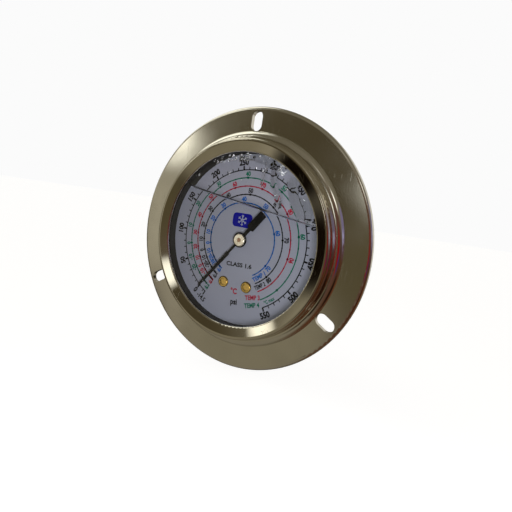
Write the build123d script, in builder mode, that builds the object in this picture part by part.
"""Liquid-filled panel pressure gauge: 63 mm case, front flange, centre-back thread.

The gauge axis is Y: the dial faces -Y, Z is up, and the origin is on the axis in the
plane of the flange's rear face, where the gauge meets its panel. Sizes are millimetres.
Angles in the dial plane are degrees counter-clockwise from +X, as seen from the front.
"""
from math import acos, cos, degrees, pi, radians, sin, tan
import os

from build123d import *

# --- flange, bezel and case ---------------------------------------------------------
FLANGE_RADIUS = 42.5
FLANGE_THICKNESS = 1.5
FLANGE_EDGE_ROUND = 1.1
COLLAR_BASE_RADIUS = 34.7       # foot of the raised collar on the flange
COLLAR_TOP_RADIUS = 32.7
COLLAR_HEIGHT = 1.1
SLOT_COUNT = 3
SLOT_CENTRE_RADIUS = 37.8
SLOT_LENGTH = 6.3
SLOT_WIDTH = 3.8
CASE_RADIUS = 30.5
CASE_WALL = 0.8
FLANGE_SEAT_RADIUS = 30.1       # the can is turned down a little where the flange sits
SEAT_FIT = 0.05
FLANGE_BORE_CHAMFER = 0.7
CASE_BACK = 25.6                # outer face of the case back
CASE_CORNER_ROUND = 3.0
RIM_RADIUS = 31.3               # outward rim that the bezel is crimped over
LIP_RADIUS = 27.7               # window opening
CREST_RADIUS = 30.7
BEZEL_RADIUS = 31.9
BEZEL_FOOT_RADIUS = 32.4
LIP_HEIGHT = 3.7                # above the flange's front face
CREST_HEIGHT = 4.5

# --- front stack --------------------------------------------------------------------
WINDOW_RADIUS = 28.8
WINDOW_THICKNESS = 2.0
WINDOW_FRONT = -4.6
GASKET_LEG = 0.7
SEAT_RADIUS = 28.0              # bore of the gasket's leg and of the spacer ring
STACK_RADIUS = 29.65
DIAL_FRONT = 1.8
DIAL_THICKNESS = 0.4
DIAL_RADIUS = 29.4
DIAL_BORE = 1.8
DIAL_SCREW_X = 4.5
DIAL_SCREW_Z = -14.9

# --- scale and gear train -----------------------------------------------------------
SCALE_SWEEP = 300.0             # degrees from -14.5 psi to 550 psi
SCALE_LOW = -14.5
SCALE_HIGH = 550.0
SCALE_START = 240.0             # dial angle of the lowest mark
ZERO_ANGLE = SCALE_START - SCALE_SWEEP * (0 - SCALE_LOW) / (SCALE_HIGH - SCALE_LOW)
MODULE = 0.25
PINION_TEETH = 12
SECTOR_TEETH = 112              # teeth on the sector's full circle
PRESSURE_ANGLE = 20.0
SECTOR_SWING = SCALE_SWEEP * PINION_TEETH / SECTOR_TEETH
PINION_PITCH_RADIUS = MODULE * PINION_TEETH / 2
SECTOR_PITCH_RADIUS = MODULE * SECTOR_TEETH / 2
CENTRE_DISTANCE = PINION_PITCH_RADIUS + SECTOR_PITCH_RADIUS
SECTOR_PIVOT_ANGLE = 232.0
LEVER_LENGTH = 5.0              # sector pivot to link pin
LINK_LENGTH = 10.0
TIP_ANGLE = 200.0               # where the Bourdon tube ends
TIP_SWING_RADIUS = 22.0

# --- movement plates ----------------------------------------------------------------
PLATE_THICKNESS = 1.0
FRONT_PLATE = 4.4               # front face of the front plate
BACK_PLATE = 9.4                # front face of the back plate
PILLAR_POINTS = [(6.5, 5.5), (-7.0, 5.0), (6.0, -18.3)]
PILLAR_RADIUS = 1.4
PILLAR_SCREW_RADIUS = 0.7
MOVEMENT_SCREW_POINTS = [(3.8, 3.8), (3.5, -13.5)]
MOVEMENT_SCREW_RADIUS = 0.8
BUSH_RADIUS = 1.3
PINION_FRONT_PIVOT = 0.7
PINION_REAR_PIVOT = 0.4
SECTOR_PIVOT_RADIUS = 0.5
RUNNING_FIT = 0.04
SECTOR_FRONT = 7.2
SECTOR_THICKNESS = 1.0
LINK_FRONT = 8.35
LINK_THICKNESS = 0.6
LINK_PIN_RADIUS = 0.5
OPEN_PIVOT_CLEARANCE = 0.22
SPRING_FRONT = 5.8
SPRING_HEIGHT = 0.6
SPRING_STUD_RADIUS = 4.6        # distance of the stud from the gauge axis
SPRING_STUD_ANGLE = 300.0

# --- Bourdon tube and socket --------------------------------------------------------
TUBE_RADIUS = 21.5
TUBE_WIDTH = 8.0                # along the gauge axis
TUBE_DEPTH = 2.8                # across the coil
TUBE_WALL = 0.4
TUBE_MIDDLE = 16.4
TUBE_START = -90.0
BLOCK_HALF_WIDTH = 6.5
BLOCK_TOP = 7.0
BLOCK_BOTTOM = -24.5
BASE_RADIUS = 14.0
BASE_THICKNESS = 2.8
NECK_RADIUS = 7.4
FLATS = 14.0                    # across the square
FLATS_LENGTH = 9.0
THREAD_RADIUS = 6.58            # G 1/4 B
THREAD_ROOT_RADIUS = 5.72
THREAD_PITCH = 1.337
THREAD_LENGTH = 13.0
PORT_RADIUS = 2.6
CHANNEL_RADIUS = 0.9
RESTRICTOR_LENGTH = 4.0
RESTRICTOR_BORE = 0.3
CASE_SCREW_COUNT = 3
CASE_SCREW_RADIUS = 1.5
CASE_SCREW_CIRCLE = 11.8
ORING_SECTION = 1.0
ORING_CENTRE = 8.9
PLUG_HEIGHT_ON_BACK = 21.0
PLUG_RADIUS = 4.2

# --- levels worked out from the above (Y values) --------------------------------------
FLANGE_FRONT = -FLANGE_THICKNESS
COLLAR_FRONT = FLANGE_FRONT - COLLAR_HEIGHT
CREST_FRONT = FLANGE_FRONT - CREST_HEIGHT
LIP_FRONT = FLANGE_FRONT - LIP_HEIGHT
HOOK_FRONT = COLLAR_FRONT - 0.5
RIM_FRONT = HOOK_FRONT - CASE_WALL
WINDOW_REAR = WINDOW_FRONT + WINDOW_THICKNESS
GASKET_REAR = WINDOW_REAR + GASKET_LEG
DIAL_REAR = DIAL_FRONT + DIAL_THICKNESS
FRONT_PLATE_REAR = FRONT_PLATE + PLATE_THICKNESS
BACK_PLATE_REAR = BACK_PLATE + PLATE_THICKNESS
CASE_INNER_BACK = CASE_BACK - CASE_WALL
BASE_FRONT = CASE_INNER_BACK - BASE_THICKNESS
FLATS_REAR = CASE_BACK + FLATS_LENGTH
THREAD_REAR = FLATS_REAR + THREAD_LENGTH


def polar(radius, angle, centre=(0.0, 0.0)):
    """Point in the dial plane at a radius and a dial angle from a centre."""
    return (centre[0] + radius * cos(radians(angle)), centre[1] + radius * sin(radians(angle)))


def level(y):
    """Sketch plane at depth y. Its x is X, its y is Z, and it extrudes to the front."""
    return Plane.XZ.offset(-y)


# --- linkage points (X, Z), with the gauge at 0 psi -----------------------------------
SECTOR_PIVOT = polar(CENTRE_DISTANCE, SECTOR_PIVOT_ANGLE)
# The tube's end opens outward and back along the coil, halfway between the two.
TIP_TRAVEL_ANGLE = TIP_ANGLE - 45.0
LEVER_MID_ANGLE = TIP_TRAVEL_ANGLE - 90.0
ZERO_SWING = SECTOR_SWING * (0 - SCALE_LOW) / (SCALE_HIGH - SCALE_LOW)
LEVER_ANGLE = LEVER_MID_ANGLE - SECTOR_SWING / 2 + ZERO_SWING
LINK_PIN = polar(LEVER_LENGTH, LEVER_ANGLE, SECTOR_PIVOT)
LEVER_MID_PIN = polar(LEVER_LENGTH, LEVER_MID_ANGLE, SECTOR_PIVOT)
TIP_MID_PIN = polar(LINK_LENGTH, TIP_TRAVEL_ANGLE, LEVER_MID_PIN)
TIP_CENTRE = polar(TIP_SWING_RADIUS, LEVER_MID_ANGLE, TIP_MID_PIN)
TIP_SWING = degrees(2 * LEVER_LENGTH * sin(radians(SECTOR_SWING / 2)) / TIP_SWING_RADIUS)
TIP_PIN_ANGLE = LEVER_MID_ANGLE + 180.0 + TIP_SWING * (LEVER_MID_ANGLE - LEVER_ANGLE) / SECTOR_SWING
TIP_PIN = polar(TIP_SWING_RADIUS, TIP_PIN_ANGLE, TIP_CENTRE)
# The link keeps its direction, so its outer eye sits halfway between where the tip pin is
# at 0 psi and where it is at mid-swing, seen from the lever pin.
LINK_EYE = tuple(
    LINK_PIN[i] + (TIP_PIN[i] - LINK_PIN[i] + TIP_MID_PIN[i] - LEVER_MID_PIN[i]) / 2 for i in (0, 1))

os.makedirs("parts", exist_ok=True)


def save(builder, name):
    """Label a finished sub-part and write its STEP file."""
    builder.part.label = name
    export_step(builder.part, f"parts/{name}.step")


# =====================================================================================
# Case, flange, bezel
# =====================================================================================
def make_case_shell():
    """Deep-drawn can with an outward rim in front, and holes in its back."""
    with BuildPart() as case_shell:
        with BuildSketch(Plane.XY):
            with BuildLine():
                inner = CASE_RADIUS - CASE_WALL
                corner = CASE_CORNER_ROUND
                Polyline((0, CASE_INNER_BACK), (inner - corner + CASE_WALL, CASE_INNER_BACK))
                RadiusArc(
                    (inner - corner + CASE_WALL, CASE_INNER_BACK),
                    (inner, CASE_INNER_BACK - corner + CASE_WALL),
                    corner - CASE_WALL,
                )
                Polyline(
                    (inner, CASE_INNER_BACK - corner + CASE_WALL),
                    (inner, RIM_FRONT),
                    (RIM_RADIUS, RIM_FRONT),
                    (RIM_RADIUS, HOOK_FRONT),
                    (FLANGE_SEAT_RADIUS, HOOK_FRONT),
                    (FLANGE_SEAT_RADIUS, 0),
                    (CASE_RADIUS, 0),
                    (CASE_RADIUS, CASE_BACK - corner),
                )
                RadiusArc((CASE_RADIUS, CASE_BACK - corner), (CASE_RADIUS - corner, CASE_BACK), -corner)
                Polyline((CASE_RADIUS - corner, CASE_BACK), (0, CASE_BACK), (0, CASE_INNER_BACK))
            make_face()
        revolve(axis=Axis.Y)
        with BuildSketch(level(CASE_BACK)):
            Circle(NECK_RADIUS)
            with PolarLocations(CASE_SCREW_CIRCLE, CASE_SCREW_COUNT, start_angle=90):
                Circle(CASE_SCREW_RADIUS)
            with Locations((0, PLUG_HEIGHT_ON_BACK)):
                Circle(PLUG_RADIUS)
        extrude(amount=CASE_WALL, mode=Mode.SUBTRACT)
    save(case_shell, "case_shell")


def make_panel_flange():
    """Pressed plate with a raised, rounded collar and three radial slots."""
    with BuildPart() as panel_flange:
        with BuildSketch(Plane.XY):
            with BuildLine():
                bore = FLANGE_SEAT_RADIUS + SEAT_FIT
                collar_line = Polyline(
                    (FLANGE_RADIUS, 0),
                    (bore + FLANGE_BORE_CHAMFER, 0),
                    (bore, -FLANGE_BORE_CHAMFER),
                    (bore, COLLAR_FRONT),
                    (COLLAR_TOP_RADIUS, COLLAR_FRONT),
                )
                ThreePointArc(
                    collar_line @ 1,
                    (COLLAR_BASE_RADIUS - 0.65, COLLAR_FRONT + 0.42),
                    (COLLAR_BASE_RADIUS, FLANGE_FRONT),
                )
                Polyline(
                    (COLLAR_BASE_RADIUS, FLANGE_FRONT),
                    (FLANGE_RADIUS - FLANGE_EDGE_ROUND, FLANGE_FRONT),
                )
                RadiusArc(
                    (FLANGE_RADIUS - FLANGE_EDGE_ROUND, FLANGE_FRONT),
                    (FLANGE_RADIUS, FLANGE_FRONT + FLANGE_EDGE_ROUND),
                    -FLANGE_EDGE_ROUND,
                )
                Line((FLANGE_RADIUS, FLANGE_FRONT + FLANGE_EDGE_ROUND), (FLANGE_RADIUS, 0))
            make_face()
        revolve(axis=Axis.Y)
        with BuildSketch(level(0)):
            with PolarLocations(SLOT_CENTRE_RADIUS, SLOT_COUNT, start_angle=90):
                SlotOverall(SLOT_LENGTH, SLOT_WIDTH)
        extrude(amount=FLANGE_THICKNESS, mode=Mode.SUBTRACT)
    save(panel_flange, "panel_flange")


def make_bezel_ring():
    """Polished ring, crimped behind the case rim, with a rounded lip round the window."""
    lip_round = 0.45
    skirt_bore = RIM_RADIUS + SEAT_FIT
    hook_bore = FLANGE_SEAT_RADIUS + SEAT_FIT
    with BuildPart() as bezel_ring:
        with BuildSketch(Plane.XY):
            with BuildLine():
                Polyline(
                    (LIP_RADIUS, WINDOW_FRONT),
                    (skirt_bore, WINDOW_FRONT),
                    (skirt_bore, HOOK_FRONT),
                    (hook_bore, HOOK_FRONT),
                    (hook_bore, COLLAR_FRONT),
                    (BEZEL_FOOT_RADIUS, COLLAR_FRONT),
                )
                # The skirt flares a little towards its foot, then rolls over the crest.
                skirt = Spline(
                    (BEZEL_FOOT_RADIUS, COLLAR_FRONT),
                    (BEZEL_RADIUS, COLLAR_FRONT - 1.0),
                    (BEZEL_RADIUS, CREST_FRONT + 1.1),
                    (CREST_RADIUS, CREST_FRONT),
                    tangents=[(-0.3, -1), (-1, 0.12)],
                )
                Line(skirt @ 1, (LIP_RADIUS + lip_round, LIP_FRONT))
                RadiusArc(
                    (LIP_RADIUS + lip_round, LIP_FRONT),
                    (LIP_RADIUS, LIP_FRONT + lip_round),
                    lip_round,
                )
                Line((LIP_RADIUS, LIP_FRONT + lip_round), (LIP_RADIUS, WINDOW_FRONT))
            make_face()
        revolve(axis=Axis.Y)
    save(bezel_ring, "bezel_ring")


def make_window():
    """Flat clear disc with a small bevel on its front edge."""
    with BuildPart() as window:
        with BuildSketch(level(WINDOW_REAR)):
            Circle(WINDOW_RADIUS)
        extrude(amount=WINDOW_THICKNESS)
        chamfer(window.faces().sort_by(Axis.Y)[0].edges(), 0.2)
    save(window, "window")


def make_window_gasket():
    """Rubber ring: a flange on the case rim, a sleeve round the window, a leg behind it."""
    with BuildPart() as window_gasket:
        with BuildSketch(Plane.XY):
            with BuildLine():
                Polyline(
                    (WINDOW_RADIUS, WINDOW_FRONT),
                    (RIM_RADIUS, WINDOW_FRONT),
                    (RIM_RADIUS, RIM_FRONT),
                    (STACK_RADIUS, RIM_FRONT),
                    (STACK_RADIUS, GASKET_REAR),
                    (SEAT_RADIUS, GASKET_REAR),
                    (SEAT_RADIUS, WINDOW_REAR),
                    (WINDOW_RADIUS, WINDOW_REAR),
                    close=True,
                )
            make_face()
        revolve(axis=Axis.Y)
    save(window_gasket, "window_gasket")


def make_spacer_ring():
    """Plain ring that keeps the window clear of the dial."""
    with BuildPart() as spacer_ring:
        with BuildSketch(level(DIAL_FRONT)):
            Circle(STACK_RADIUS)
            Circle(SEAT_RADIUS, mode=Mode.SUBTRACT)
        extrude(amount=DIAL_FRONT - GASKET_REAR)
    save(spacer_ring, "spacer_ring")


def make_fill_plug():
    """Rubber fill and blow-out plug: head, neck in the case back, barb inside."""
    with BuildPart() as fill_plug:
        with BuildSketch(level(CASE_BACK)):
            with Locations((0, PLUG_HEIGHT_ON_BACK)):
                Circle(PLUG_RADIUS)
        extrude(amount=CASE_WALL)
        with BuildSketch(level(CASE_BACK + 1.8)):
            with Locations((0, PLUG_HEIGHT_ON_BACK)):
                Circle(PLUG_RADIUS + 1.6)
        extrude(amount=1.8)
        fillet(fill_plug.faces().sort_by(Axis.Y)[-1].edges(), 0.7)
        with BuildSketch(level(CASE_INNER_BACK)):
            with Locations((0, PLUG_HEIGHT_ON_BACK)):
                Circle(PLUG_RADIUS + 0.7)
        extrude(amount=1.6, taper=25)
    save(fill_plug, "fill_plug")


# =====================================================================================
# Dial, pointer
# =====================================================================================
def make_slotted_screws(name, points, radius, head_radius, head_front, head_height, shank_end):
    """Slotted cheese-head screws pointing to the back, one solid at each (X, Z) point."""
    head_rear = head_front + head_height
    with BuildPart() as screws:
        with BuildSketch(level(head_rear)):
            with Locations(*points):
                Circle(head_radius)
        extrude(amount=head_height)
        with BuildSketch(level(shank_end)):
            with Locations(*points):
                Circle(radius)
        extrude(amount=shank_end - head_rear)
        with BuildSketch(level(head_front + head_height / 2)):
            with Locations(*points):
                Rectangle(2.2 * head_radius, 0.3 * head_radius, rotation=35)
        extrude(amount=head_height / 2, mode=Mode.SUBTRACT)
    save(screws, name)


DIAL_SCREW_POINTS = [(-DIAL_SCREW_X, DIAL_SCREW_Z), (DIAL_SCREW_X, DIAL_SCREW_Z)]
DIAL_SCREW_RADIUS = 0.9
DIAL_SCREW_HEAD = 1.9
DIAL_SCREW_HEAD_HEIGHT = 0.7


def make_dial_screws():
    """Dished, slotted screws with a rounded head edge, one solid at each of the two points."""
    dish_radius = 1.2
    dish_depth = 0.35
    head_rear = DIAL_FRONT
    head_front = DIAL_FRONT - DIAL_SCREW_HEAD_HEIGHT
    with BuildPart() as dial_screws:
        with BuildSketch(level(head_rear)):
            with Locations(*DIAL_SCREW_POINTS):
                Circle(DIAL_SCREW_HEAD)
        extrude(amount=DIAL_SCREW_HEAD_HEIGHT)
        fillet(dial_screws.faces().sort_by(Axis.Y)[:2].edges(), 0.4)
        with BuildSketch(level(head_front)):
            with Locations(*DIAL_SCREW_POINTS):
                Circle(dish_radius)
        extrude(amount=-dish_depth, taper=25, mode=Mode.SUBTRACT)
        with BuildSketch(level(head_front + dish_depth + 0.2)):
            with Locations(*DIAL_SCREW_POINTS):
                Rectangle(1.7, 0.4, rotation=35)
        extrude(amount=0.3, mode=Mode.SUBTRACT)
        with BuildSketch(level(FRONT_PLATE)):
            with Locations(*DIAL_SCREW_POINTS):
                Circle(DIAL_SCREW_RADIUS)
        extrude(amount=FRONT_PLATE - head_rear)
    save(dial_screws, "dial_screws")


def make_dial():
    """Sheet disc with a hole for the pointer arbor and two screw holes."""
    with BuildPart() as dial:
        with BuildSketch(level(DIAL_REAR)):
            Circle(DIAL_RADIUS)
            Circle(DIAL_BORE, mode=Mode.SUBTRACT)
            with Locations(*DIAL_SCREW_POINTS):
                Circle(DIAL_SCREW_RADIUS, mode=Mode.SUBTRACT)
        extrude(amount=DIAL_THICKNESS)
    save(dial, "dial")


def make_dial_posts():
    """Two tubular posts on the front plate that the dial screws go into."""
    with BuildPart() as dial_posts:
        with BuildSketch(level(FRONT_PLATE)):
            with Locations(*DIAL_SCREW_POINTS):
                Circle(1.8)
                Circle(DIAL_SCREW_RADIUS, mode=Mode.SUBTRACT)
        extrude(amount=FRONT_PLATE - DIAL_REAR)
    save(dial_posts, "dial_posts")


POINTER_FRONT = 0.2
POINTER_THICKNESS = 0.4
POINTER_TIP = 23.3
POINTER_BOSS_RADIUS = 2.5
POINTER_BUSH_RADIUS = 2.1
POINTER_BUSH_FRONT = -0.5
POINTER_BUSH_REAR = 1.4
TAIL_END = 12.0


def pointer_outline():
    """Corners of the pointer in its own plane: pivot at the origin, blade along +x."""
    tail_half = 1.4
    tail_neck_half = 0.6
    blade_neck_half = 0.36
    blade_half = 0.64
    point_half = 0.38
    upper = [
        (-TAIL_END, 0.93 * tail_half),
        (-5.4, tail_half),
        (-5.0, tail_neck_half),
        (0.0, tail_neck_half),
        (1.0, blade_neck_half),
        (5.9, blade_neck_half),
        (6.3, blade_half),
        (POINTER_TIP - 0.9, point_half),
        (POINTER_TIP, 0.0),
    ]
    lower = [(x, -half) for x, half in reversed(upper[:-1])]
    return upper + lower


def make_pointer():
    """Sheet pointer: long tapering blade, narrow necks, round boss, wide tail."""
    with BuildPart() as pointer:
        aim = Plane(origin=(0, POINTER_FRONT + POINTER_THICKNESS, 0),
                    x_dir=(cos(radians(ZERO_ANGLE)), 0, sin(radians(ZERO_ANGLE))), z_dir=(0, -1, 0))
        with BuildSketch(aim):
            with BuildLine():
                Polyline(*pointer_outline(), close=True)
            make_face()
            Circle(POINTER_BOSS_RADIUS)
            Circle(POINTER_BUSH_RADIUS - 0.4, mode=Mode.SUBTRACT)
        extrude(amount=POINTER_THICKNESS)
    save(pointer, "pointer")


def make_pointer_bush():
    """Turned bush pressed through the pointer, with a rounded cap in front."""
    with BuildPart() as pointer_bush:
        with BuildSketch(Plane.XY):
            with BuildLine():
                barrel = POINTER_BUSH_RADIUS - 0.4
                outline = Polyline(
                    (PINION_FRONT_PIVOT, POINTER_BUSH_FRONT),
                    (PINION_FRONT_PIVOT, POINTER_BUSH_REAR),
                    (barrel, POINTER_BUSH_REAR),
                    (barrel, POINTER_FRONT),
                    (POINTER_BUSH_RADIUS, POINTER_FRONT),
                    (POINTER_BUSH_RADIUS, POINTER_BUSH_FRONT + 0.3),
                )
                RadiusArc(outline @ 1, (POINTER_BUSH_RADIUS - 0.3, POINTER_BUSH_FRONT), 0.3)
                Line((POINTER_BUSH_RADIUS - 0.3, POINTER_BUSH_FRONT), outline @ 0)
            make_face()
        revolve(axis=Axis.Y)
    save(pointer_bush, "pointer_bush")


# =====================================================================================
# Gear train
# =====================================================================================
def involute(angle):
    return tan(angle) - angle


def tooth_half_angle(teeth, radius, backlash):
    """Half of a tooth's angle (radians) at a radius, for a gear of the given tooth count."""
    pitch_radius = MODULE * teeth / 2
    base_radius = pitch_radius * cos(radians(PRESSURE_ANGLE))
    pitch_half = pi / (2 * teeth) - backlash / (2 * pitch_radius)
    flank = acos(min(1.0, base_radius / radius))
    return pitch_half + involute(radians(PRESSURE_ANGLE)) - involute(flank)


def tooth_points(teeth, addendum, dedendum, backlash, direction, centre):
    """Four flank points and their mirror images: one tooth pointing at a dial angle."""
    pitch_radius = MODULE * teeth / 2
    root = pitch_radius - dedendum
    crest = pitch_radius + addendum
    base = pitch_radius * cos(radians(PRESSURE_ANGLE))
    low = max(root, base)
    radii = [root, low + (crest - low) * 0.35, low + (crest - low) * 0.7, crest]
    half = [degrees(tooth_half_angle(teeth, max(radius, low), backlash)) for radius in radii]
    rising = [polar(radius, direction - angle, centre) for radius, angle in zip(radii, half)]
    falling = [polar(radius, direction + angle, centre) for radius, angle in zip(radii, half)]
    return rising + falling[::-1]


PINION_ADDENDUM = 0.24
PINION_DEDENDUM = 0.24
SECTOR_ADDENDUM = 0.16
SECTOR_DEDENDUM = 0.32
BACKLASH = 0.05


def make_pinion_arbor():
    """Pinion cut on its own arbor: rear pivot, teeth, front pivot, taper for the pointer."""
    with BuildPart() as pinion_arbor:
        # A tooth space faces the sector, where a sector tooth stands at 0 psi.
        first = SECTOR_PIVOT_ANGLE + 180.0 / PINION_TEETH
        outline = []
        for tooth in range(PINION_TEETH):
            direction = first + tooth * 360.0 / PINION_TEETH
            outline += tooth_points(
                PINION_TEETH, PINION_ADDENDUM, PINION_DEDENDUM, BACKLASH, direction, (0, 0))
        with BuildSketch(level(SECTOR_FRONT + SECTOR_THICKNESS + 0.4)):
            with BuildLine():
                Polyline(*outline, close=True)
            make_face()
        extrude(amount=SECTOR_THICKNESS + 0.8)
        shoulder = PINION_PITCH_RADIUS - PINION_DEDENDUM
        with BuildSketch(Plane.XY):
            with BuildLine():
                Polyline(
                    (0, BACK_PLATE_REAR - 0.1),
                    (PINION_REAR_PIVOT, BACK_PLATE_REAR - 0.1),
                    (PINION_REAR_PIVOT, BACK_PLATE - 0.05),
                    (0.9, BACK_PLATE - 0.05),
                    (shoulder, SECTOR_FRONT + SECTOR_THICKNESS + 0.4),
                    (shoulder, SECTOR_FRONT - 0.4),
                    (0.9, SPRING_FRONT + SPRING_HEIGHT + 0.15),
                    (0.9, FRONT_PLATE_REAR + 0.05),
                    (PINION_FRONT_PIVOT, FRONT_PLATE_REAR + 0.05),
                    (PINION_FRONT_PIVOT, POINTER_BUSH_FRONT + 0.1),
                    (0, POINTER_BUSH_FRONT + 0.1),
                    close=True,
                )
            make_face()
        revolve(axis=Axis.Y)
    save(pinion_arbor, "pinion_arbor")


def make_spring_collet():
    """Small collar on the arbor that holds the hairspring's inner end."""
    with BuildPart() as spring_collet:
        with BuildSketch(level(SPRING_FRONT + SPRING_HEIGHT)):
            Circle(1.5)
            Circle(0.9, mode=Mode.SUBTRACT)
        extrude(amount=SPRING_HEIGHT)
    save(spring_collet, "spring_collet")


def make_sector_gear():
    """Toothed sector with a lightened web; the link pin is riveted on its lever."""
    mesh_angle = SECTOR_PIVOT_ANGLE - 180.0
    tooth_pitch = 360.0 / SECTOR_TEETH
    spare = 2
    ahead = int((SECTOR_SWING - ZERO_SWING) / tooth_pitch) + 1 + spare
    behind = int(ZERO_SWING / tooth_pitch) + 1 + spare
    with BuildPart() as sector_gear:
        outline = []
        for tooth in range(-ahead, behind + 1):
            outline += tooth_points(
                SECTOR_TEETH, SECTOR_ADDENDUM, SECTOR_DEDENDUM, BACKLASH,
                mesh_angle + tooth * tooth_pitch, SECTOR_PIVOT)
        first_edge = mesh_angle - (ahead + 0.5) * tooth_pitch
        last_edge = mesh_angle + (behind + 0.5) * tooth_pitch
        root = SECTOR_PITCH_RADIUS - SECTOR_DEDENDUM
        shank = 3.0
        outline = (
            [polar(shank, first_edge - 40, SECTOR_PIVOT), polar(root - 2.0, first_edge, SECTOR_PIVOT),
             polar(root, first_edge, SECTOR_PIVOT)]
            + outline
            + [polar(root, last_edge, SECTOR_PIVOT), polar(root - 2.0, last_edge, SECTOR_PIVOT),
               polar(shank, last_edge + 40, SECTOR_PIVOT)]
        )
        with BuildSketch(level(SECTOR_FRONT + SECTOR_THICKNESS)):
            with BuildLine():
                Polyline(*outline, close=True)
            make_face()
            with Locations(SECTOR_PIVOT):
                Circle(shank)
                Circle(1.0, mode=Mode.SUBTRACT)
            with Locations(LINK_PIN):
                Circle(LINK_PIN_RADIUS, mode=Mode.SUBTRACT)
            # One round window lightens the web between the lever and the teeth.
            middle = (first_edge + last_edge) / 2
            with Locations(polar(root - 3.6, middle, SECTOR_PIVOT)):
                Circle(1.9, mode=Mode.SUBTRACT)
        extrude(amount=SECTOR_THICKNESS)
    save(sector_gear, "sector_gear")


def make_sector_arbor():
    """Stepped arbor with a pivot in each plate, and the sector staked on its middle."""
    with BuildPart() as sector_arbor:
        steps = [
            (FRONT_PLATE + 0.1, SECTOR_PIVOT_RADIUS, FRONT_PLATE_REAR + 0.05),
            (FRONT_PLATE_REAR + 0.05, 1.0, BACK_PLATE - 0.05),
            (BACK_PLATE - 0.05, SECTOR_PIVOT_RADIUS, BACK_PLATE_REAR - 0.1),
        ]
        for front, radius, rear in steps:
            with BuildSketch(level(rear)):
                with Locations(SECTOR_PIVOT):
                    Circle(radius)
            extrude(amount=rear - front)
    save(sector_arbor, "sector_arbor")


def make_lever_pin():
    """Rivet pin in the sector's lever that carries the link."""
    with BuildPart() as lever_pin:
        with BuildSketch(level(LINK_FRONT + LINK_THICKNESS + 0.1)):
            with Locations(LINK_PIN):
                Circle(LINK_PIN_RADIUS)
        extrude(amount=LINK_FRONT + LINK_THICKNESS + 0.1 - SECTOR_FRONT)
        with BuildSketch(level(SECTOR_FRONT)):
            with Locations(LINK_PIN):
                Circle(LINK_PIN_RADIUS + 0.3)
        extrude(amount=0.25)
    save(lever_pin, "lever_pin")


def make_link():
    """Flat link; its outer hole is larger than its pin, where the linkage is left open."""
    along = Vector(LINK_EYE[0] - LINK_PIN[0], 0, LINK_EYE[1] - LINK_PIN[1])
    with BuildPart() as link:
        bar = Plane(origin=(LINK_PIN[0], LINK_FRONT + LINK_THICKNESS, LINK_PIN[1]),
                    x_dir=along, z_dir=(0, -1, 0))
        with BuildSketch(bar):
            with Locations((along.length / 2, 0)):
                SlotCenterToCenter(along.length, 2.4)
            Circle(LINK_PIN_RADIUS + RUNNING_FIT, mode=Mode.SUBTRACT)
            with Locations((along.length, 0)):
                Circle(LINK_PIN_RADIUS + OPEN_PIVOT_CLEARANCE, mode=Mode.SUBTRACT)
        extrude(amount=LINK_THICKNESS)
    save(link, "link")


def spiral_points(offset, turns, inner, outer, start, count):
    """Points of a flat spiral, moved outward by an offset, from a start dial angle."""
    points = []
    for step in range(count + 1):
        share = step / count
        radius = inner + (outer - inner) * share + offset
        points.append(polar(radius, start + 360.0 * turns * share))
    return points


def make_hairspring():
    """Flat spiral strip from the collet to the stud."""
    turns = 4.0
    strip = 0.14
    start = SPRING_STUD_ANGLE - 360.0 * turns
    with BuildPart() as hairspring:
        with BuildSketch(level(SPRING_FRONT + SPRING_HEIGHT)):
            with BuildLine():
                inside = Spline(*spiral_points(-strip / 2, turns, 1.6, SPRING_STUD_RADIUS, start, 48))
                outside = Spline(*spiral_points(strip / 2, turns, 1.6, SPRING_STUD_RADIUS, start, 48))
                Line(inside @ 0, outside @ 0)
                Line(inside @ 1, outside @ 1)
            make_face()
        extrude(amount=SPRING_HEIGHT)
    save(hairspring, "hairspring")


def make_spring_stud():
    """Post under the front plate; a cut in it grips the hairspring's outer end."""
    with BuildPart() as spring_stud:
        with BuildSketch(level(SPRING_FRONT + SPRING_HEIGHT)):
            with Locations(polar(SPRING_STUD_RADIUS + 0.07 + 0.6, SPRING_STUD_ANGLE)):
                Circle(0.6)
        extrude(amount=SPRING_FRONT + SPRING_HEIGHT - FRONT_PLATE_REAR)
    save(spring_stud, "spring_stud")


# =====================================================================================
# Movement frame
# =====================================================================================
def plate_sketch(holes):
    """Outline shared by both movement plates, with (point, radius) holes through it."""
    corners = PILLAR_POINTS + [SECTOR_PIVOT, (DIAL_SCREW_X, DIAL_SCREW_Z), (-DIAL_SCREW_X, DIAL_SCREW_Z - 0.6)]
    with Locations(*corners):
        Circle(2.6)
    make_hull()
    for point, radius in holes:
        with Locations(point):
            Circle(radius, mode=Mode.SUBTRACT)


def make_front_plate():
    with BuildPart() as front_plate:
        holes = [((0, 0), BUSH_RADIUS), (SECTOR_PIVOT, BUSH_RADIUS)]
        holes += [(point, PILLAR_SCREW_RADIUS) for point in PILLAR_POINTS]
        with BuildSketch(level(FRONT_PLATE_REAR)):
            plate_sketch(holes)
        extrude(amount=PLATE_THICKNESS)
    save(front_plate, "front_plate")


def make_back_plate():
    with BuildPart() as back_plate:
        holes = [((0, 0), BUSH_RADIUS), (SECTOR_PIVOT, BUSH_RADIUS)]
        holes += [(point, MOVEMENT_SCREW_RADIUS) for point in MOVEMENT_SCREW_POINTS]
        with BuildSketch(level(BACK_PLATE_REAR)):
            plate_sketch(holes)
        extrude(amount=PLATE_THICKNESS)
    save(back_plate, "back_plate")


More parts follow.
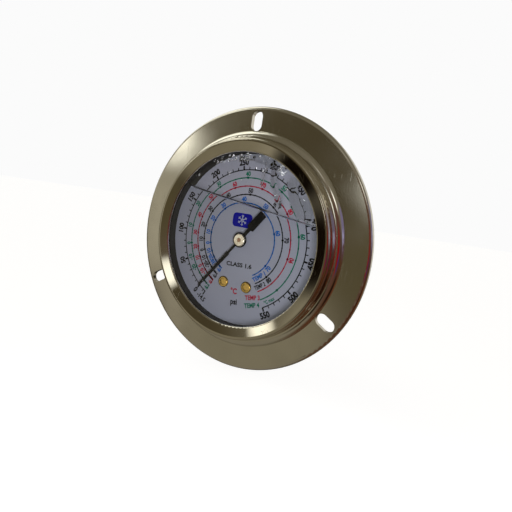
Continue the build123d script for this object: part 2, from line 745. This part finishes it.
def make_bushes():
    """A bush in each plate for the pinion arbor, and one in each for the sector arbor."""
    pairs = [
        ("pinion_bushes", (0, 0), PINION_FRONT_PIVOT, PINION_REAR_PIVOT),
        ("sector_bushes", SECTOR_PIVOT, SECTOR_PIVOT_RADIUS, SECTOR_PIVOT_RADIUS),
    ]
    for name, centre, front_pivot, rear_pivot in pairs:
        with BuildPart() as bushes:
            for rear, pivot in ((FRONT_PLATE_REAR, front_pivot), (BACK_PLATE_REAR, rear_pivot)):
                with BuildSketch(level(rear)):
                    with Locations(centre):
                        Circle(BUSH_RADIUS)
                        Circle(pivot + RUNNING_FIT, mode=Mode.SUBTRACT)
                extrude(amount=PLATE_THICKNESS)
        save(bushes, name)


def make_plate_pillars():
    """Three pillars between the plates, drilled at the front for the pillar screws."""
    screw_depth = 2.4
    with BuildPart() as plate_pillars:
        with BuildSketch(level(BACK_PLATE)):
            with Locations(*PILLAR_POINTS):
                Circle(PILLAR_RADIUS)
        extrude(amount=BACK_PLATE - FRONT_PLATE_REAR)
        with BuildSketch(level(FRONT_PLATE_REAR + screw_depth)):
            with Locations(*PILLAR_POINTS):
                Circle(PILLAR_SCREW_RADIUS)
        extrude(amount=screw_depth, mode=Mode.SUBTRACT)
    save(plate_pillars, "plate_pillars")


# =====================================================================================
# Bourdon tube, tip, socket
# =====================================================================================
def tube_section(width, depth):
    """Flat oval of the tube's wall, in a plane through the gauge axis (X is radius)."""
    with Locations((TUBE_RADIUS, TUBE_MIDDLE)):
        SlotOverall(width, depth, rotation=90)


def make_bourdon_tube():
    """C-shaped flat tube, round the movement from the socket block to its free end."""
    sweep = TIP_ANGLE - TUBE_START
    with BuildPart() as bourdon_tube:
        start = Plane.XY.rotated((0, -TUBE_START, 0))
        with BuildSketch(start):
            tube_section(TUBE_WIDTH, TUBE_DEPTH)
            with Locations((TUBE_RADIUS, TUBE_MIDDLE)):
                SlotOverall(TUBE_WIDTH - 2 * TUBE_WALL, TUBE_DEPTH - 2 * TUBE_WALL, rotation=90,
                            mode=Mode.SUBTRACT)
        revolve(axis=Axis.Y, revolution_arc=-sweep)
    save(bourdon_tube, "bourdon_tube")


def make_tube_tip():
    """Cap on the tube's free end, with an arm that reaches forward to the link."""
    cap_length = 3.6
    cap_angle = TIP_ANGLE + degrees((cap_length / 2 + 0.35) / TUBE_RADIUS)
    cap_centre = polar(TUBE_RADIUS, cap_angle)
    with BuildPart() as tube_tip:
        cap = Plane(origin=(cap_centre[0], TUBE_MIDDLE + TUBE_WIDTH / 2, cap_centre[1]),
                    x_dir=(cos(radians(cap_angle)), 0, sin(radians(cap_angle))), z_dir=(0, -1, 0))
        with BuildSketch(cap):
            RectangleRounded(4.2, cap_length, 0.6)
        extrude(amount=TUBE_WIDTH)
        arm_front = LINK_FRONT + LINK_THICKNESS + 0.35
        arm_rear = TUBE_MIDDLE - TUBE_WIDTH / 2 + 1.0
        with BuildSketch(level(arm_rear)):
            with Locations(cap_centre, TIP_PIN):
                Circle(1.3)
            make_hull()
        extrude(amount=arm_rear - arm_front)
    save(tube_tip, "tube_tip")


def make_tip_pin():
    """Headed screw pin in the tip's arm that the link hangs on."""
    with BuildPart() as tip_pin:
        with BuildSketch(level(LINK_FRONT + LINK_THICKNESS + 0.35)):
            with Locations(TIP_PIN):
                Circle(LINK_PIN_RADIUS)
        extrude(amount=LINK_THICKNESS + 0.7)
        with BuildSketch(level(LINK_FRONT - 0.35)):
            with Locations(TIP_PIN):
                Circle(1.1)
        extrude(amount=0.6)
    save(tip_pin, "tip_pin")


def make_socket():
    """Brass socket: threaded stub, wrench flats, base inside the case, block for the tube."""
    with BuildPart() as socket:
        with BuildSketch(level(FLATS_REAR)):
            Rectangle(FLATS, FLATS)
        extrude(amount=FLATS_LENGTH)
        chamfer(socket.edges().filter_by(Axis.Y), 1.2)
        with BuildSketch(level(CASE_BACK)):
            Circle(NECK_RADIUS)
        extrude(amount=CASE_WALL)
        with BuildSketch(level(CASE_INNER_BACK)):
            Circle(BASE_RADIUS)
        extrude(amount=BASE_THICKNESS)
        block_height = BLOCK_TOP - BLOCK_BOTTOM
        with BuildSketch(level(BASE_FRONT)):
            with Locations((0, BLOCK_BOTTOM + block_height / 2)):
                RectangleRounded(2 * BLOCK_HALF_WIDTH, block_height, 1.5)
        extrude(amount=BASE_FRONT - BACK_PLATE_REAR)
        # Threaded stub: V-grooves cut as rings at the thread's pitch.
        with BuildSketch(Plane.XY):
            with BuildLine():
                turns = int(THREAD_LENGTH / THREAD_PITCH) - 1
                groove_start = FLATS_REAR + 1.0
                outline = [(0, FLATS_REAR), (THREAD_ROOT_RADIUS, FLATS_REAR),
                           (THREAD_ROOT_RADIUS, groove_start)]
                for turn in range(turns):
                    here = groove_start + turn * THREAD_PITCH
                    outline += [
                        (THREAD_RADIUS, here + 0.45 * THREAD_PITCH),
                        (THREAD_RADIUS, here + 0.6 * THREAD_PITCH),
                        (THREAD_ROOT_RADIUS, here + THREAD_PITCH),
                    ]
                outline += [(THREAD_ROOT_RADIUS, THREAD_REAR - 0.6),
                            (THREAD_ROOT_RADIUS - 0.6, THREAD_REAR), (0, THREAD_REAR)]
                Polyline(*outline, close=True)
            make_face()
        revolve(axis=Axis.Y)
        # Port, cross channel and the pocket that holds the tube's fixed end.
        with BuildSketch(level(THREAD_REAR)):
            Circle(PORT_RADIUS)
        extrude(amount=THREAD_REAR - TUBE_MIDDLE, mode=Mode.SUBTRACT)
        with BuildSketch(Plane.XY.offset(-TUBE_RADIUS)):
            with Locations((-0.5, TUBE_MIDDLE)):
                Circle(CHANNEL_RADIUS)
        extrude(amount=TUBE_RADIUS, mode=Mode.SUBTRACT)
        with BuildSketch(Plane.XY.rotated((0, -TUBE_START, 0))):
            tube_section(TUBE_WIDTH, TUBE_DEPTH)
        revolve(axis=Axis.Y, revolution_arc=-40, mode=Mode.SUBTRACT)
        # Threaded holes for the case screws and the movement screws, and the seal groove.
        with BuildSketch(level(CASE_INNER_BACK)):
            with PolarLocations(CASE_SCREW_CIRCLE, CASE_SCREW_COUNT, start_angle=90):
                Circle(CASE_SCREW_RADIUS)
        extrude(amount=BASE_THICKNESS, mode=Mode.SUBTRACT)
        with BuildSketch(level(BACK_PLATE_REAR + 3.2)):
            with Locations(*MOVEMENT_SCREW_POINTS):
                Circle(MOVEMENT_SCREW_RADIUS)
        extrude(amount=3.2, mode=Mode.SUBTRACT)
        with BuildSketch(level(CASE_INNER_BACK)):
            Circle(ORING_CENTRE + ORING_SECTION / 2)
            Circle(ORING_CENTRE - ORING_SECTION / 2, mode=Mode.SUBTRACT)
        extrude(amount=ORING_SECTION, mode=Mode.SUBTRACT)
        # A recess clears the rear pivots of the two arbors.
        with BuildSketch(level(BACK_PLATE_REAR + 0.6)):
            Circle(1.6)
        extrude(amount=0.6, mode=Mode.SUBTRACT)
    save(socket, "socket")


def make_socket_seal():
    """O-ring in the groove between the socket base and the case back."""
    with BuildPart() as socket_seal:
        with BuildSketch(Plane.XY):
            with Locations((ORING_CENTRE, CASE_INNER_BACK - ORING_SECTION / 2)):
                Circle(ORING_SECTION / 2)
        revolve(axis=Axis.Y)
    save(socket_seal, "socket_seal")


def make_restrictor():
    """Slotted throttle screw in the mouth of the pressure port."""
    with BuildPart() as restrictor:
        with BuildSketch(level(THREAD_REAR - 1.0)):
            Circle(PORT_RADIUS)
            Circle(RESTRICTOR_BORE, mode=Mode.SUBTRACT)
        extrude(amount=RESTRICTOR_LENGTH)
        with BuildSketch(level(THREAD_REAR - 1.0)):
            Rectangle(2 * PORT_RADIUS, 0.7)
        extrude(amount=0.8, mode=Mode.SUBTRACT)
    save(restrictor, "restrictor")


def make_case_screws():
    """Pan-head screws from outside, through the case back, into the socket base."""
    head_height = 1.6
    cross = 0.7
    with BuildPart() as case_screws:
        with BuildSketch(level(CASE_BACK + head_height)):
            with PolarLocations(CASE_SCREW_CIRCLE, CASE_SCREW_COUNT, start_angle=90):
                Circle(2.7)
        extrude(amount=head_height)
        fillet(case_screws.faces().sort_by(Axis.Y)[-CASE_SCREW_COUNT:].edges(), 0.5)
        with BuildSketch(level(CASE_BACK)):
            with PolarLocations(CASE_SCREW_CIRCLE, CASE_SCREW_COUNT, start_angle=90):
                Circle(CASE_SCREW_RADIUS)
        extrude(amount=CASE_WALL + BASE_THICKNESS - 0.3)
        with BuildSketch(level(CASE_BACK + head_height)):
            with PolarLocations(CASE_SCREW_CIRCLE, CASE_SCREW_COUNT, start_angle=90):
                Rectangle(3.2, cross)
                Rectangle(cross, 3.2)
        extrude(amount=0.9, mode=Mode.SUBTRACT)
    save(case_screws, "case_screws")


make_case_shell()
make_panel_flange()
make_bezel_ring()
make_window()
make_window_gasket()
make_spacer_ring()
make_fill_plug()
make_dial()
make_dial_screws()
make_dial_posts()
make_pointer()
make_pointer_bush()
make_pinion_arbor()
make_spring_collet()
make_sector_gear()
make_sector_arbor()
make_lever_pin()
make_link()
make_hairspring()
make_spring_stud()
make_front_plate()
make_back_plate()
make_bushes()
make_plate_pillars()
make_slotted_screws("pillar_screws", PILLAR_POINTS, PILLAR_SCREW_RADIUS, 1.4,
                    FRONT_PLATE - 0.8, 0.8, FRONT_PLATE_REAR + 2.2)
make_slotted_screws("movement_screws", MOVEMENT_SCREW_POINTS, MOVEMENT_SCREW_RADIUS, 1.5,
                    BACK_PLATE - 0.9, 0.9, BACK_PLATE_REAR + 3.0)
make_bourdon_tube()
make_tube_tip()
make_tip_pin()
make_socket()
make_socket_seal()
make_restrictor()
make_case_screws()
